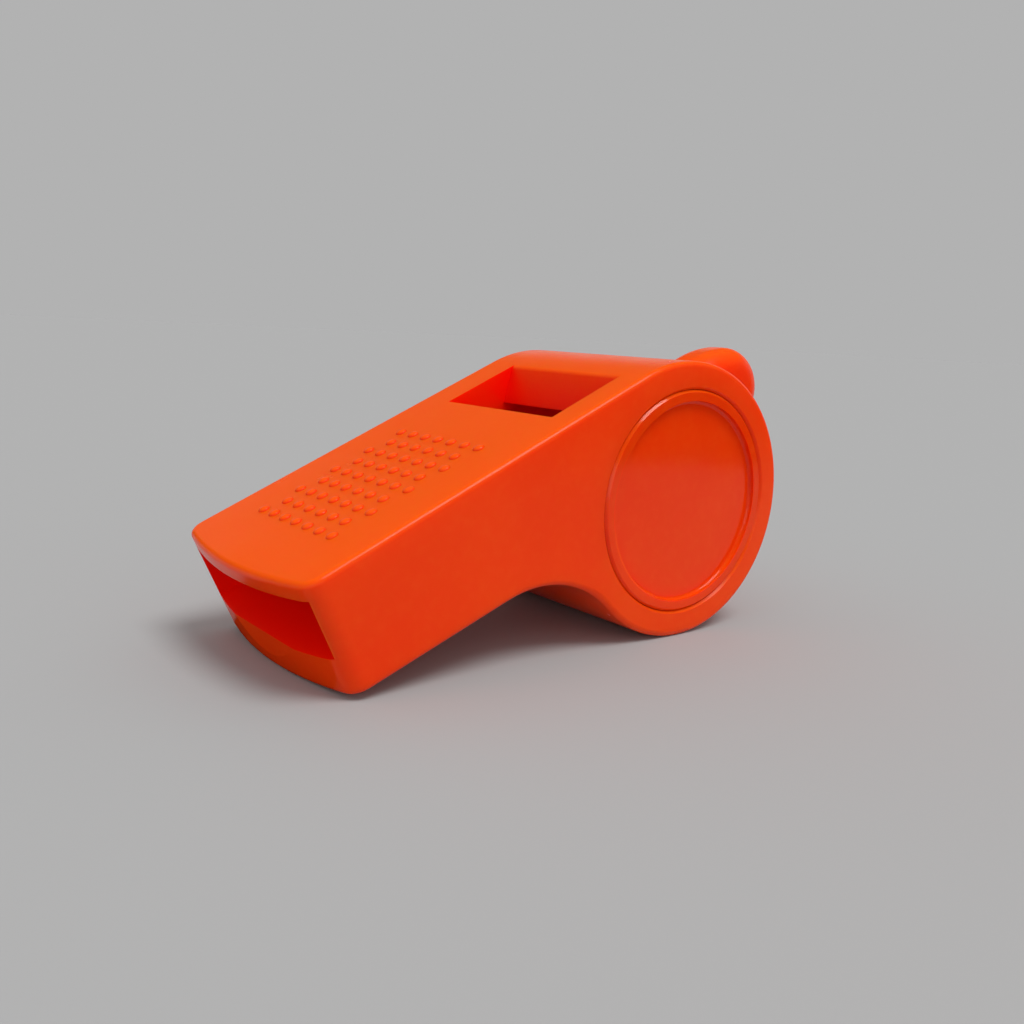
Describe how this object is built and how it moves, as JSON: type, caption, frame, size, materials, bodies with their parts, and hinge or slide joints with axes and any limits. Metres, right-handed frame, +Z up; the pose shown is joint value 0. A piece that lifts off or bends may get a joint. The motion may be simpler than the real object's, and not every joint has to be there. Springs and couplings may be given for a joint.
{
  "type": "traffic whistle",
  "caption": "Glossy orange plastic pea whistle with a flat mouthpiece, a round barrel with a capped side, a loose cork pea and a rear lug for a lanyard",
  "frame": {"origin": "centre of the bounding box's footprint, on the surface the whistle lies on", "axes": "+X from the mouthpiece towards the lug, +Y from the capped side towards the closed side, +Z up; the whistle lies on its barrel and on the front edge of its mouthpiece"},
  "size_m": [0.0564, 0.0212, 0.0254],
  "materials": {
    "orange_plastic": "glossy, smooth, slightly translucent",
    "cork": "matte, fine grained cork"
  },
  "bodies": {
    "root": {"whistle_body": "orange_plastic", "side_cap": "orange_plastic", "pea": "cork"}
  },
  "joints": []
}
